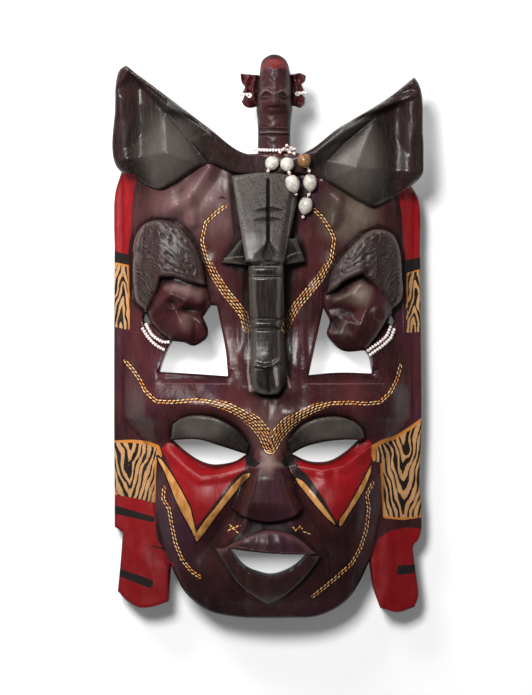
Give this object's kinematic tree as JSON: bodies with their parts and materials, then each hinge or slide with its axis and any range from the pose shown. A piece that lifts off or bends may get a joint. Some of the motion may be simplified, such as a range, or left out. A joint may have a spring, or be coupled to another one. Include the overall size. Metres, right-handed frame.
{
  "type": "maasai mask",
  "caption": "Carved wooden wall mask: pierced face under an elephant's head with raised ears, profile heads beside windows, a long-necked head on top, bead strings and seeds.",
  "frame": {"origin": "middle of the bounding box, on the plane of the back rim that the mask lies on", "axes": "+X to the viewer's right across the face, +Y up to the crown, +Z out of the face"},
  "size_m": [0.1926, 0.3496, 0.07],
  "materials": {
    "stained_wood": "dark maroon stain, polished, with painted red, black and ochre patterns",
    "white_bead": "opaque white and pink glass seed beads on thin thread",
    "pale_seed": "glossy grey-white dried seed",
    "brown_seed": "glossy tan dried seed"
  },
  "bodies": {
    "root": {"mask_body": "stained_wood", "neck_bead_string": "white_bead", "knot_beads": "white_bead", "pendant_thread_1": "white_bead", "pendant_thread_2": "white_bead", "pendant_thread_3": "white_bead", "seed_1": "pale_seed", "seed_2": "pale_seed", "seed_3": "pale_seed", "seed_4": "brown_seed", "seed_5": "pale_seed", "seed_6": "pale_seed", "left_head_bead_strand_1": "white_bead", "left_head_bead_strand_2": "white_bead", "right_head_bead_strand_1": "white_bead", "right_head_bead_strand_2": "white_bead", "left_ear_bead_loop": "white_bead", "right_ear_bead_loop": "white_bead"}
  },
  "joints": []
}
